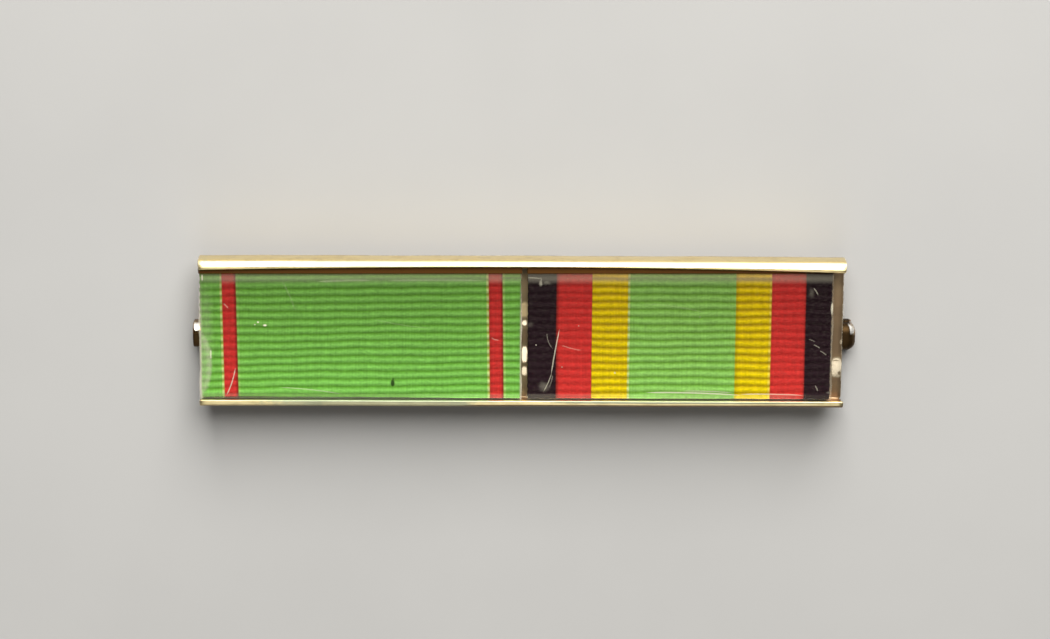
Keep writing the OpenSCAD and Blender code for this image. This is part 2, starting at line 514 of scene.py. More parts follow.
def mix(factor, first, second, way="MIX"):
    """Mixes two colours."""
    inputs = {0: factor, 6: first, 7: second}
    settings = {"data_type": "RGBA", "blend_type": way, "clamp_factor": True}
    return get(tree_of(inputs.values()), "Mix", 2, inputs, **settings)


def layered(body, *layers):
    """A colour under several layers, each given as its mask and its own colour."""
    for mask, tint in layers:
        body = mix(mask, body, tint)
    return body


def noise(vector, scale=1.0, detail=2.0, roughness=0.5, seed=0.0):
    """Noise from 0 to 1 about a middle of 0.5. The seed picks another slice of it."""
    inputs = {"Vector": vector, "W": seed, "Scale": scale, "Detail": detail, "Roughness": roughness}
    return get(vector.tree, "TexNoise", "Fac", inputs, noise_dimensions="4D")


def cells(vector, scale):
    """The distance from the middle of the nearest of many scattered cells, and that cell's own colour."""
    outputs = put(vector.tree, "TexVoronoi", {"Vector": vector, "Scale": scale, "Randomness": 1.0})
    return [Value(vector.tree, outputs[name]) for name in ("Distance", "Color")]


def bumped(height, strength, depth):
    """A normal that a height tilts. The depth is in millimetres."""
    return get(height.tree, "Bump", 0, {"Strength": strength, "Distance": depth * MM, "Height": height})


def rgba(values):
    """A colour property as the four numbers that a socket takes."""
    return (*values, 1.0)


def millimetres(tree):
    """Places on the piece in millimetres, along the bar from the middle of the gap between the two
    units."""
    place = stretched(get(tree, "TexCoord", "Object"), (1 / MM,) * 3)
    return vector_calc("SUBTRACT", place, (GAP_X / MM, 0, 0))


def from_gap(x):
    """A place along the bar, in millimetres from the middle of the gap."""
    return float(x - GAP_X) / MM


def inside_mask(tree):
    """1 on the faces of a sheet that look inward, and 0 on its others."""
    return get(tree, "Attribute", "Fac", attribute_name="inside", attribute_type="GEOMETRY")


# Effects that materials share, each a node group

def new_group(name, inputs, outputs):
    """Starts a node group. Each input is given by its default: three numbers are a vector, four a
    colour. Returns the group, its inputs as values and its outputs' sockets."""
    group = bpy.data.node_groups.new(name, "ShaderNodeTree")

    def socket(label, way, kind):
        """Adds a named socket on one side of the group."""
        return group.interface.new_socket(label, in_out=way, socket_type="NodeSocket" + kind)

    for label, default in inputs.items():
        kind = {3: "Vector", 4: "Color"}[len(default)] if isinstance(default, tuple) else "Float"
        socket(label, "INPUT", kind).default_value = default
    for label in outputs:
        socket(label, "OUTPUT", "Color" if label == "Colour" else "Float")
    given = {end.name: Value(group, end) for end in group.nodes.new("NodeGroupInput").outputs}
    return group, given, group.nodes.new("NodeGroupOutput").inputs


def patch_group():
    """A soft patch seen from above: 1 inside and 0 outside. Its reach is the root of the sum of the
    powers of both distances from its centre, in half sizes: power 2 gives an oval, and a higher one a
    squarer shape."""
    group, given, out = new_group("Patch", {
        "Vector": (0, 0, 0), "Centre": (0, 0, 0), "Half Size": (1, 1, 1), "Softness": 0.3, "Ragged": 0.0,
        "Power": 2.0}, ["Mask"])
    away = vector_calc("SUBTRACT", given["Vector"], given["Centre"])
    x, y, _ = parts(vector_calc("ABSOLUTE", vector_calc("DIVIDE", away, given["Half Size"])))
    power = given["Power"]
    reach = (x ** power + y ** power) ** (1.0 / power)
    reach = reach + (noise(given["Vector"], scale=2.4, detail=3) - 0.5) * given["Ragged"]
    fill(out["Mask"], ramp(reach, 1.0 - given["Softness"], 1.0, 1.0, 0.0))
    return group


def scratch_group():
    """A bent scratch: the distance from a line, moved aside by Bend times 4 t (1 - t), where t runs
    along it from 0 to 1, against its width. It thins out towards both ends."""
    group, given, out = new_group("Scratch", {
        "Vector": (0, 0, 0), "Start": (0, 0, 0), "End": (1, 0, 0), "Bend": 0.0, "Width": 0.05}, ["Mask"])
    line, away = (stretched(vector_calc("SUBTRACT", given[end], given["Start"]), (1, 1, 0))
                  for end in ("End", "Vector"))
    span = vector_calc("LENGTH", line, output="Value")
    t = vector_calc("DOT_PRODUCT", away, line, output="Value") / (span * span)
    aside = parts(vector_calc("CROSS_PRODUCT", line, away))[2]
    off = abs(aside / span - t * (1.0 - t) * 4.0 * given["Bend"])
    taper = ramp(t, 0.0, 0.15) * ramp(t, 0.8, 1.0, 1.0, 0.0)
    wide = given["Width"] * most(taper, 0.02)
    fill(out["Mask"], ramp(off / wide, 0.35, 1.0, 1.0, 0.0) * calc("GREATER_THAN", taper, 0.001))
    return group


def drawn_group():
    """The finish of rolled and polished sheet: fine lines along the bar, soft dents, and handling
    smudges."""
    group, given, out = new_group("Drawn Sheet", {"Vector": (0, 0, 0), "Lines": 1.0, "Dents": 1.0},
                                  ["Height", "Smudge"])
    at = given["Vector"]
    along = noise(stretched(at, (0.35, 14.0, 14.0)), detail=3, roughness=0.65)
    cross = noise(stretched(at, (9.0, 1.6, 1.6)), seed=3.0)
    dents = noise(at, scale=0.55, roughness=0.45, seed=7.0)
    lines = along * given["Lines"] + cross * given["Lines"] * 0.35
    fill(out["Height"], lines + dents * given["Dents"] * 9.0)
    smudge = noise(stretched(at, (0.35, 0.9, 0.9)), detail=4, roughness=0.6, seed=11.0)
    fill(out["Smudge"], ramp(smudge, 0.42, 0.68))
    return group


def weave_group():
    """A ribbed ribbon's weave from its flat place: a round warp thread every Thread across it, which
    passes over and under along the ribbon, and a tone that differs from thread to thread and from rib
    to rib. Groove is 1 between two ribs, and Lee on a rib's shaded side."""
    group, given, out = new_group("Ribbed Weave", {"Flat": (0, 0, 0), "Thread": 0.12, "Rib": 0.61},
                                  ["Height", "Thread Tone", "Rib Tone", "Groove", "Lee", "Grain"])
    across, along, _ = parts(given["Flat"])
    thread, rib = across / given["Thread"], along / given["Rib"]
    thread_number = calc("FLOOR", thread)
    middle = calc("FRACT", thread) - 0.5
    pair = calc("MODULO", thread_number, 2.0) * PI
    wave = calc("SINE", along * (2 * PI / 0.2) + pair)
    fill(out["Height"], wave * 0.25 + (1.0 - middle * middle * 4.0))
    tone = get(group, "TexWhiteNoise", "Value", {"W": thread_number}, noise_dimensions="1D")
    fill(out["Thread Tone"], tone)
    cell = combined(across * 1.1, calc("FLOOR", rib) * 7.3)
    fill(out["Rib Tone"], noise(cell, detail=3, roughness=0.6))
    fill(out["Groove"], ramp(abs(calc("FRACT", rib) * 2.0 - 1.0), 0.12, 1.0))
    fill(out["Lee"], calc("COSINE", rib * (2 * PI) + 0.26 * PI))
    fill(out["Grain"], noise(stretched(given["Flat"], (3.0, 7.0, 1.0)), roughness=0.6))
    return group


def stripe_group():
    """Adds one stripe to a ribbon's colour: threads between two places across it, with a pale border
    outside each side, and a shaded one inside."""
    group, given, out = new_group("Stripe", {
        "Across": 0.0, "Under": (0, 0, 0, 1), "Threads": (1, 0, 0, 1), "From": 0.0, "To": 1.0, "Soft": 0.05,
        "Pale": (1, 1, 1, 1), "Pale Left": 0.0, "Pale Right": 0.0, "Pale Width": 0.16, "Shade Left": 0.0,
        "Shade Right": 0.0, "Shade Width": 0.30}, ["Colour"])
    across, low, high, wide = (given[key] for key in ("Across", "From", "To", "Pale Width"))

    def past(place):
        """0 below a place and 1 above it."""
        return ramp(across - place, given["Soft"] * -1.0, given["Soft"])

    def shade(depth, strength):
        """A border's shade at a depth inside the stripe."""
        return ramp(depth / given["Shade Width"], 0.0, 1.0, 1.0, 0.0) * given[strength]

    shaded_threads = mix(shade(across - low, "Shade Left") + shade(high - across, "Shade Right"),
                         given["Threads"], THREAD_SHADOW)
    body = mix(past(low) * (1.0 - past(high)), given["Under"], shaded_threads)
    left = past(low - wide) * (1.0 - past(low)) * given["Pale Left"]
    right = past(high) * (1.0 - past(high + wide)) * given["Pale Right"]
    fill(out["Colour"], mix(calc("ADD", left, right, clamp=True), body, given["Pale"]))
    return group


EFFECTS = {"Patch": patch_group, "Scratch": scratch_group, "Drawn Sheet": drawn_group,
           "Ribbed Weave": weave_group, "Stripe": stripe_group}


def effect(name, inputs):
    """Places a shared effect with its own values. Its group is built the first time. Returns its
    outputs."""
    tree = tree_of(inputs.values())
    node = tree.nodes.new("ShaderNodeGroup")
    node.node_tree = bpy.data.node_groups.get(name) or EFFECTS[name]()
    for key, value in inputs.items():
        fill(node.inputs[key], value)
    return {socket.name: Value(tree, socket) for socket in node.outputs}


def strongest(marks):
    """The strongest of several masks, each given with its strength. One whose strength is below nought
    rubs out that share of the marks before it."""
    total = None
    for mask, strength in marks:
        mask = mask * strength
        if strength < 0:
            total = total * (mask + 1.0)
        else:
            total = mask if total is None else most(total, mask)
    return total


def patches(at, rows):
    """The mask of several patches. A row has the centre and both half sizes in millimetres, softness,
    raggedness, power and strength."""
    return strongest(
        (effect("Patch", {"Vector": at, "Centre": (x, y, 0), "Half Size": (wide, high, 1),
                          "Softness": softness, "Ragged": ragged, "Power": power})["Mask"], strength)
        for x, y, wide, high, softness, ragged, power, strength in rows)


def scratches_mask(at, rows):
    """The mask of several scratches. A row has both ends, the bend and the width in millimetres, and
    strength."""
    return strongest(
        (effect("Scratch", {"Vector": at, "Start": (x0, y0, 0), "End": (x1, y1, 0), "Bend": bend,
                            "Width": width})["Mask"], strength)
        for x0, y0, x1, y1, bend, width, strength in rows)


def new_material(name):
    """An empty material and its tree."""
    material = bpy.data.materials.new(name)
    material.use_nodes = True
    material.node_tree.nodes.clear()
    return material, material.node_tree


def shaded(material, shader):
    """The material, with its shader."""
    out = material.node_tree.nodes.new("ShaderNodeOutputMaterial")
    fill(out.inputs["Surface"], shader)
    return material


def principled(material, inputs):
    """The material, with one Principled shader."""
    return shaded(material, get(material.node_tree, "BsdfPrincipled", 0, inputs))


def metal(material, body, roughness, normal):
    """The material, as a bare metal."""
    return principled(material, {"Base Color": body, "Metallic": 1.0, "Roughness": roughness,
                                 "Normal": normal})


# Materials

# Colours of single marks and layers, in linear light. The scuffed and the rubbed brass are painted
# highlights, the grey-green gilt is partly painted shade, and the lip, foot and dark stain browns are
# painted shade
CLEAN, SMUDGED = (0.98, 0.98, 0.98, 1), (0.90, 0.88, 0.84, 1)
HIGHLIGHT_BRASS = (1.0, 0.97, 0.80, 1)
MUTED_AND_SHADED_GILT = (0.46, 0.50, 0.34, 1)
# Painted shade on the lower lip's fold and at the walls' feet
LIP_FOLD_SHADE = (0.05, 0.03, 0.015, 1)
FOOT_SHADE = (0.42, 0.30, 0.17, 1)
WORN_GILT = (0.92, 0.84, 0.66, 1)
PAINTED_SHADE_BROWN = (0.055, 0.031, 0.012, 1)
FITTING_HIGHLIGHT_BRASS = (1.0, 0.97, 0.90, 1)
WORN_WIRE = (0.78, 0.77, 0.74, 1)
THREAD_SHADOW = (0.012, 0.006, 0.003, 1)

# Marks seen from above. A patch has the place of its centre and its half sizes along and across the
# bar, all in millimetres, then softness, raggedness, power and strength. One with a strength below
# nought rubs out.

# Painted highlights on the rail's tarnished floor: pale patches, which also tip towards the large light
FLOOR_HIGHLIGHTS = (
    (24.74, -3.06, 0.46, 0.92, 0.25, 0.30, 4.0, 1.0),
    (24.66, -2.50, 0.44, 0.08, 0.7, 0.3, 2.0, -0.50),
    (24.98, -3.50, 0.17, 0.20, 0.6, 0.5, 2.0, -0.7),
    (24.74, -3.85, 0.60, 0.50, 0.9, 0.5, 2.0, -0.20),
    (25.04, -0.97, 0.13, 0.27, 0.5, 0.4, 2.0, 0.8),
    (24.28, 1.73, 0.11, 0.62, 0.5, 0.3, 2.0, 0.55),
    (0.05, 0.48, 0.26, 0.29, 0.5, 0.2, 3.0, 1.0),
    (0.05, -2.07, 0.26, 0.80, 0.35, 0.1, 4.0, 1.0),
    (0.05, -3.42, 0.26, 0.45, 0.40, 0.1, 4.0, 0.9),
)

# Paler tarnish in the gap and at the bare end, with its darker places. It is also painted light that lifts
# the shade in the narrow gap and under the upper lip, and it tips towards the large light
PALE_AND_LIT_PATCHES = (
    (0.05, -0.2, 0.5, 5.4, 0.1, 0.0, 6.0, 0.45),
    (0.05, 1.55, 0.5, 1.05, 0.6, 0.3, 3.0, 0.9),
    (0.05, -0.55, 0.5, 0.62, 0.3, 0.1, 4.0, -1.0),
    (25.12, -1.0, 0.12, 4.6, 0.6, 0.2, 4.0, 0.22),
    (24.75, -4.7, 0.6, 0.7, 0.6, 0.4, 2.0, 0.18),
    (24.7, 3.6, 0.6, 1.2, 0.6, 0.4, 2.0, 0.15),
)

# Muted, grey-green gilding on the lips: tarnish, and painted shade that dims the lower lip's highlight
# along its length and along its inner edge
MUTED_AND_SHADED_PATCHES = (
    (0.0, -5.7, 26.4, 0.6, 0.1, 0.3, 6.0, 0.12),
    (-12.0, -5.7, 9.6, 0.6, 0.3, 0.5, 2.0, 0.70),
    (-16.6, -5.7, 1.4, 0.6, 0.6, 0.8, 2.0, 0.85),
    (-11.5, -5.41, 10.5, 0.09, 0.3, 0.4, 4.0, 1.0),
    (12.8, -5.46, 12.4, 0.11, 0.3, 0.4, 4.0, 0.95),
    (-5.2, -5.7, 1.6, 0.6, 0.6, 0.8, 2.0, 0.85),
    (-24.9, 5.75, 0.32, 0.16, 0.8, 0.6, 2.0, 0.55),
)

# Painted highlights on the hook and the hinge
FITTING_HIGHLIGHTS = (
    (-25.82, 0.13, 0.27, 0.52, 0.3, 0.1, 2.6, 1.0),
    (25.90, 0.10, 0.32, 0.64, 0.3, 0.1, 2.6, 1.0),
    (25.60, -0.36, 0.22, 0.74, 0.3, 0.1, 2.6, -1.0),
)

# Painted shade on the hook and the hinge
FITTING_SHADE_PATCHES = (
    (-25.85, -1.1, 0.8, 0.75, 0.3, 0.2, 3.0, 0.85),
    (25.35, -0.4, 0.50, 1.8, 0.15, 0.0, 6.0, 1.0),
    (25.90, -1.20, 0.7, 0.95, 0.4, 0.2, 3.0, 0.9),
)


def gilt_material(finishes, sizes):
    """Gilded brass: polished, with fine drawn lines and smudges, tarnished brown where it faces inside, and
    worn at its ends. Its painted highlights are pale patches that tip towards +Y, so that they catch the
    large light. Its paler patches are also painted light that lifts shade, and painted shade darkens the
    lower lip's fold, the walls' feet and the lower lip's highlight."""
    material, tree = new_material("Gilt brass")
    at = millimetres(tree)
    x, y, z = parts(at)
    drawn = effect("Drawn Sheet", {"Vector": at, "Lines": 1.0, "Dents": 1.0})
    smudge = drawn["Smudge"]
    inside = inside_mask(tree)
    # Painted highlights: pale patches on the floor that also tip towards the large light
    painted_highlight = inside * patches(at, FLOOR_HIGHLIGHTS)
    # Paler tarnish, and painted light that lifts the shade in the narrow gap and under the upper lip
    pale = patches(at, PALE_AND_LIT_PATCHES)
    # Grey-green gilding: tarnish, and painted shade that dims the lower lip's highlight
    muted_and_shaded = patches(at, MUTED_AND_SHADED_PATCHES)
    cloud = noise(at, scale=1.1, detail=4, roughness=0.6, seed=5.0)
    brown = inside * ramp(cloud, 0.2, 0.5, 0.90, 1.0)
    brown = calc("MULTIPLY", brown, 1.0 - most(painted_highlight, pale), clamp=True)
    film = ramp(noise(at, scale=0.9, detail=4, roughness=0.65, seed=9.0), 0.48, 0.75) * 0.22
    # Painted shade: the lower lip is painted brown where it turns down into its wall, a painted reflection
    # of the shade below it, and both walls are painted darker towards their feet
    turned_down_shade = ramp(y - ramp(x, -6.0, -3.0, 0.0, 0.10), -5.86, -5.74, 0.9, 0.0)
    turned_down_shade = turned_down_shade * ramp(z, 3.3, 4.0, 0.2, 1.0)
    # Painted shade at the walls' feet
    foot = ramp(z, 2.35, 2.85, 0.85, 0.0)
    # Both cut ends are worn over a narrow strip
    first = from_gap(FILMS["left"][0][0])
    last = from_gap(FILMS["right"][1][0]) + sizes.bare / MM
    strip = 0.12
    at_ends = most(ramp(x, first, first + strip, 1.0, 0.0), ramp(x, last - strip, last))
    wear = ramp(noise(at, scale=2.3, detail=3, roughness=0.6, seed=13.0), 0.35, 0.6) * at_ends
    body = mix(most(brown, film), rgba(finishes.gilt), rgba(finishes.tarnish))
    body = mix(1.0, body, mix(smudge, CLEAN, SMUDGED), "MULTIPLY")
    lip_fold_shade = [(one + other) / 2 for one, other in zip(rgba(finishes.tarnish), LIP_FOLD_SHADE)]
    body = layered(body, (painted_highlight * 0.85, HIGHLIGHT_BRASS), (muted_and_shaded * 0.9, MUTED_AND_SHADED_GILT),
                   (turned_down_shade, lip_fold_shade), (foot, FOOT_SHADE), (wear, WORN_GILT))
    rough = smudge * 0.08 + 0.30 + most(brown, pale) * 0.10 + most(muted_and_shaded, wear) * 0.12
    tip = vector_calc("SCALE", (0, 1, 0), Scale=inside * pale * 0.20 + painted_highlight * 0.215)
    normal = vector_calc("NORMALIZE", vector_calc("ADD", bumped(drawn["Height"], 0.25, 0.004), tip))
    return metal(material, body, rough, normal)


def stained_material(finishes):
    """Stained brass of the hook and the hinge: smooth and brown, with paler drawn streaks, painted
    highlights and painted shade."""
    material, tree = new_material("Stained brass")
    at = millimetres(tree)
    drawn = effect("Drawn Sheet", {"Vector": at, "Lines": 0.6, "Dents": 0.6})
    streak = ramp(noise(stretched(at, (2.2, 0.5, 0.8)), detail=3, roughness=0.6, seed=6.0), 0.45, 0.7)
    # Painted highlights on the shoulders of the hook and the hinge
    worn = patches(at, FITTING_HIGHLIGHTS) * ramp(parts(at)[2], 1.5, 1.9)
    # Painted shade: dark brown on the hook's lower side and on the hinge's knuckle
    stain_and_shade = patches(at, FITTING_SHADE_PATCHES)
    body = layered(rgba(finishes.stain), (streak * 0.45, rgba(finishes.gilt)), (stain_and_shade, PAINTED_SHADE_BROWN),
                   (worn, FITTING_HIGHLIGHT_BRASS))
    rough = drawn["Smudge"] * 0.10 + 0.18 + most(worn, stain_and_shade) * 0.34
    return metal(material, body, rough, bumped(drawn["Height"], 0.25, 0.004))


def wire_material(finishes):
    """The needle's gilt wire: drawn lines along it, worn paler towards its point."""
    material, tree = new_material("Gilt wire")
    at = millimetres(tree)
    drawn = effect("Drawn Sheet", {"Vector": at, "Lines": 1.0, "Dents": 0.2})
    worn = ramp(parts(at)[0], -24.0, -14.0, 0.75, 0.0)
    body = layered(rgba(finishes.needle), (worn, WORN_WIRE),
                   (drawn["Smudge"] * 0.35, rgba(finishes.tarnish)))
    return metal(material, body, drawn["Smudge"] * 0.12 + 0.22, bumped(drawn["Height"], 0.3, 0.004))


def solder_material(finishes):
    """Solder: grey, with a grain and a brown edge."""
    material, tree = new_material("Solder")
    at = millimetres(tree)
    stain = ramp(noise(at, scale=1.6, detail=3, roughness=0.6, seed=4.0), 0.4, 0.7)
    body = mix(stain * 0.6, rgba(finishes.solder), rgba(finishes.tarnish))
    return metal(material, body, 0.42, bumped(noise(at, scale=6.0, detail=3, roughness=0.6), 0.5, 0.02))


# Stripes across each ribbon, from left to right: threads, from, to, then the strength of the pale
# border on the left and on the right, and of the shaded one on the left and on the right
LEFT_STRIPES = (
    ("red", -23.63, -22.51, 0.30, 0.08, 0.10, 0.62),
    ("red", -2.77, -1.66, 0.36, 0.16, 0.20, 0.60),
)
RIGHT_STRIPES = (
    ("black", -1.0, 2.60, 0.0, 0.0, 0.0, 0.0),
    ("red", 2.50, 5.41, 0.0, 0.0, 0.55, 0.30),
    ("yellow", 5.31, 8.11, 0.0, 0.32, 0.0, 0.0),
    ("yellow", 16.57, 19.46, 0.0, 0.0, 0.30, 0.0),
    ("red", 19.36, 22.16, 0.14, 0.0, 0.10, 0.75),
    ("black", 22.06, 26.0, 0.0, 0.0, 0.0, 0.0),
)


# Dark spots on the left ribbon
DARK_SPOTS = (
    (-10.34, -4.10, 0.20, 0.36, 0.5, 0.5, 2.0, 0.85),
    (-10.30, -3.78, 0.10, 0.16, 0.6, 0.4, 2.0, 0.6),
    (-14.9, -2.9, 0.06, 0.06, 0.6, 0.4, 2.0, 0.45),
)


def ribbon_material(name, finishes, ground, sizes, stripes, spots):
    """Ribbed ribbon: threads of each stripe's colour, with a tone of their own, painted shade in the
    grooves between ribs, and painted shade that darkens it from its lower edge to its upper one."""
    material, tree = new_material(name)
    flat = stretched(get(tree, "UVMap", 0, uv_map="Pattern"), (1 / MM,) * 3)
    weave = effect("Ribbed Weave", {"Flat": flat, "Thread": sizes.thread / MM, "Rib": sizes.rib / MM})
    across = (weave["Rib Tone"] - 0.5) * 0.05 + parts(flat)[0]
    body = rgba(ground)
    for threads, low, high, pale_left, pale_right, shade_left, shade_right in stripes:
        body = effect("Stripe", {
            "Across": across, "From": low, "To": high, "Under": body,
            "Threads": rgba(getattr(finishes, threads)), "Pale": rgba(finishes.pale),
            "Pale Left": pale_left, "Pale Right": pale_right,
            "Shade Left": shade_left, "Shade Right": shade_right})["Colour"]
    at = millimetres(tree)
    height = parts(at)[1]
    tone = weave["Rib Tone"] * 0.36 + 0.77 + weave["Thread Tone"] * 0.10 + (weave["Grain"] - 0.5) * 0.9
    # Painted shade: the tone falls from the lower edge to the upper one, under the upper lip, and painted
    # light brightens the lower bend, which faces away from the large light
    tone = tone * (ramp(height, -5.3, 5.3, 1.36, 0.60, smooth=False)
                   * ramp(height, -5.30, -5.17, 4.5, 1.0, smooth=False))
    # Painted shade in the grooves between ribs, weakest on red and black threads
    redness, greenness, _ = parts(body, "Color")
    light_threads = ramp(greenness, 0.04, 0.25)
    groove_shade = weave["Groove"] * (light_threads * ramp(redness, 0.25, 0.5, 0.38, 0.52) + 0.04)
    # Painted light on the shaded side of the ribs of red and black threads, so that it is less dark
    tone = tone * (weave["Lee"] * ((1.0 - light_threads) * 0.12) + 1.0)
    if spots:
        tone = tone * (1.0 - patches(at, spots))
    # The painted shade in the grooves takes most of the blue, and less red where the threads are yellow.
    # Painted warm light from the metal over the upper edge brightens the ribbon there.
    losses = (ramp(redness, 0.25, 0.5, -1.08, -0.80), -0.90, -1.6)
    channels = [tone * (groove_shade * loss + 1.0) * ramp(height, 4.2, 4.75, 1.0, glow)
                for loss, glow in zip(losses, (1.45, 1.22, 0.85))]
    # With the painted shade, red grows a little towards the upper edge
    channels[0] = channels[0] * ramp(height, -5.3, 5.3, 0.95, 1.05, smooth=False)
    body = mix(1.0, body, combined(*channels), "MULTIPLY")
    return principled(material, {"Base Color": body, "Roughness": 0.6, "Specular IOR Level": 0.04,
                                 "Normal": bumped(weave["Height"], 0.45, 0.02)})


# Scratches on the films: the places of both ends, bend and width in millimetres, then strength
SCRATCHES = {
    "left": (
        (-22.66, -2.80, -23.42, -5.12, 0.10, 0.065, 0.42),
        (-23.55, 2.35, -23.16, 1.92, 0.05, 0.05, 0.26),
        (-2.60, -0.30, -1.95, -0.52, -0.08, 0.05, 0.24),
        (-16.2, 4.12, -11.8, 4.24, 0.05, 0.13, 0.17),
        (-19.3, -4.4, -14.2, -4.95, 0.10, 0.05, 0.30),
        (-12.0, 1.2, -6.9, 0.4, -0.15, 0.03, 0.12),
        (-19.0, 4.3, -17.9, 1.6, 0.10, 0.035, 0.12),
        (-10.9, 4.22, -3.0, 4.26, 0.05, 0.13, 0.15),
    ),
    "right": (
        (2.76, 0.45, 2.10, -3.45, -0.03, 0.065, 0.38),
        (2.15, -3.20, 1.50, -4.70, 0.06, 0.055, 0.32),
        (2.25, -3.30, 1.95, -4.40, 0.04, 0.04, 0.18),
        (1.77, 0.10, 2.25, -1.23, -0.14, 0.045, 0.17),
        (0.17, 4.50, 1.27, 4.43, 0.02, 0.055, 0.28),
        (1.24, 4.55, 1.30, 3.85, 0.03, 0.055, 0.26),
        (2.89, -0.90, 4.57, -1.34, -0.06, 0.045, 0.20),
        (22.58, 3.78, 22.98, 3.16, 0.03, 0.06, 0.22),
        (22.30, -0.38, 22.85, -0.58, 0.02, 0.05, 0.13),
        (22.70, -0.82, 23.25, -1.10, 0.02, 0.055, 0.20),
        (23.20, -1.30, 23.76, -1.68, 0.03, 0.055, 0.20),
        (22.90, -4.10, 23.14, -4.60, 0.02, 0.07, 0.20),
        (9.4, -4.75, 17.3, -4.95, 0.10, 0.09, 0.48),
        (12.4, -4.60, 16.6, -4.74, 0.05, 0.055, 0.36),
        (16.9, -4.86, 22.2, -4.93, 0.06, 0.07, 0.38),
        (9.2, 2.4, 14.6, 1.6, 0.2, 0.03, 0.10),
    ),
}

# Bruises and dust on the films, as patches, with painted reflections near the films' ends
BRUISES_AND_GLINTS = {
    "left": (
        (-25.35, -2.45, 0.95, 2.70, 0.24, 0.10, 2.0, 0.24),
        (-25.55, -2.55, 0.86, 2.50, 0.40, 0.15, 2.0, -0.45),
        (-24.58, -1.75, 0.14, 0.60, 0.9, 0.6, 2.0, 0.55),
        (-25.16, 4.42, 0.09, 0.34, 0.5, 0.3, 2.0, 0.45),
        (-20.85, 0.86, 0.12, 0.08, 0.6, 0.6, 2.0, 0.75),
        (-20.30, 0.62, 0.20, 0.12, 0.6, 0.9, 2.0, 0.75),
        (-21.10, 0.66, 0.09, 0.06, 0.6, 0.4, 2.0, 0.65),
        (-24.9, 0.5, 0.75, 4.6, 0.9, 0.7, 2.0, 0.07),
    ),
    "right": (
        (1.25, 4.10, 0.20, 0.36, 0.9, 1.1, 2.0, 0.24),
        (1.75, 4.15, 0.45, 0.30, 0.9, 1.0, 2.0, 0.12),
        (0.92, -0.91, 0.08, 0.07, 0.6, 0.0, 2.0, 0.45),
        (1.55, -4.30, 0.60, 0.55, 0.95, 0.9, 2.0, 0.12),
        (0.45, 0.75, 0.35, 0.35, 0.95, 0.8, 2.0, 0.04),
        (2.97, -2.68, 0.07, 0.06, 0.5, 0.2, 2.0, 0.34),
        (22.45, 3.35, 0.30, 0.50, 0.95, 0.8, 2.0, 0.06),
        (24.08, 2.10, 0.12, 0.66, 0.6, 0.3, 2.0, 0.45),
        (24.0, -4.70, 0.30, 0.14, 0.9, 0.4, 2.0, 0.12),
    ),
}

# Painted glints along the left and the right end of each film
END_GLINTS = {"left": (0.42, 0.42), "right": (0.0, 0.15)}


def film_material(side, finishes):
    """Clear film: it shows what is behind it, mirrors more at a grazing angle, and is hazy where it is
    scratched and bruised. It has painted reflections near its two bends and painted glints along its ends.
    Grime and painted shade of the upper lip lie along that lip."""
    material, tree = new_material("Clear film " + side)
    at = millimetres(tree)
    along, height, _ = parts(at)
    scratches = scratches_mask(at, SCRATCHES[side])
    # Bruises and dust, with painted reflections near the ends
    bruises_and_glints = patches(at, BRUISES_AND_GLINTS[side])
    # Grime and painted shade of the upper lip lie along the lip, in a band that runs a little aslant, and
    # below it lies a painted reflection of the film's upper bend, which is also hazy
    aslant = along * -0.0037 + height
    grime_and_lip_shade = ramp(aslant, 4.77, 4.90, 0.0, 0.94)
    upper = ramp(aslant, 3.9, 4.45, 0.0, 0.105) * ramp(aslant, 4.45, 4.8, 1.0, 0.6)
    # Painted reflections of the film's lower bend, which is also hazy, lie along it and fade towards the
    # right end
    lower = most(ramp(height, -5.38, -5.22, 0.13, 0.0), ramp(height, -4.98, -4.80, 0.07, 0.0))
    lower = lower * ramp(along, 20.0, 22.5, 1.0, 0.3)
    left_end, right_end = (from_gap(corner[0]) for corner in FILMS[side])
    left_glint, right_glint = END_GLINTS[side]
    # Painted glints along the films' cut ends
    ends = most(ramp(along - left_end, 0.05, 0.42, left_glint, 0.0),
                ramp(right_end - along, 0.04, 0.22, right_glint, 0.0))
    ends = ends * ramp(height, -1.0, 4.6, 1.0, 0.2)
    fine = noise(stretched(at, (3.0, 9.0, 1.0)), detail=4, roughness=0.7, seed=2.0)
    fine = ramp(fine, 0.42, 0.85, 0.0, 0.035)
    # Specks of dust lie in scattered cells, and each cell's own colour gives its speck's size
    away, cell_colour = cells(at, 0.42)
    dots = calc("LESS_THAN", away, parts(cell_colour, "Color")[0] * 0.055 - 0.018) * 0.30
    haze_and_glints = calc("ADD", most(scratches, bruises_and_glints, upper, lower, ends), most(fine, dots), clamp=True)
    cover = most(haze_and_glints, grime_and_lip_shade) * (1.0 - inside_mask(tree))
    tint = mix(grime_and_lip_shade * 6.0, rgba(finishes.haze_and_glints), rgba(finishes.grime_and_lip_shade))
    gloss = get(tree, "BsdfGlossy", 0, {"Color": (1, 1, 1, 1), "Roughness": 0.04,
                                        "Normal": bumped(scratches * -1.0, 0.3, 0.01)})
    dust = get(tree, "BsdfPrincipled", 0, {"Base Color": tint, "Roughness": 0.55, "Alpha": cover,
                                           "Specular IOR Level": 0.1})
    # Only faces that are seen from outside mirror, since light goes through the film without bending
    front = 1.0 - get(tree, "NewGeometry", "Backfacing")
    mirrored = get(tree, "Fresnel", 0, {"IOR": 1.38}) * front
    return shaded(material, get(tree, "MixShader", 0, {0: mirrored, 1: dust, 2: gloss}))


def floor_material(tone):
    """Pale matt paper with a faint mottle."""
    material, tree = new_material("Pale floor")
    mottle = ramp(noise(millimetres(tree), scale=0.05, detail=3, roughness=0.6), 0.3, 0.7, 0.97, 1.0)
    body = mix(1.0, rgba(tone), combined(mottle, mottle, mottle), "MULTIPLY")
    return principled(material, {"Base Color": body, "Roughness": 0.85, "Specular IOR Level": 0.2})


# Pieces

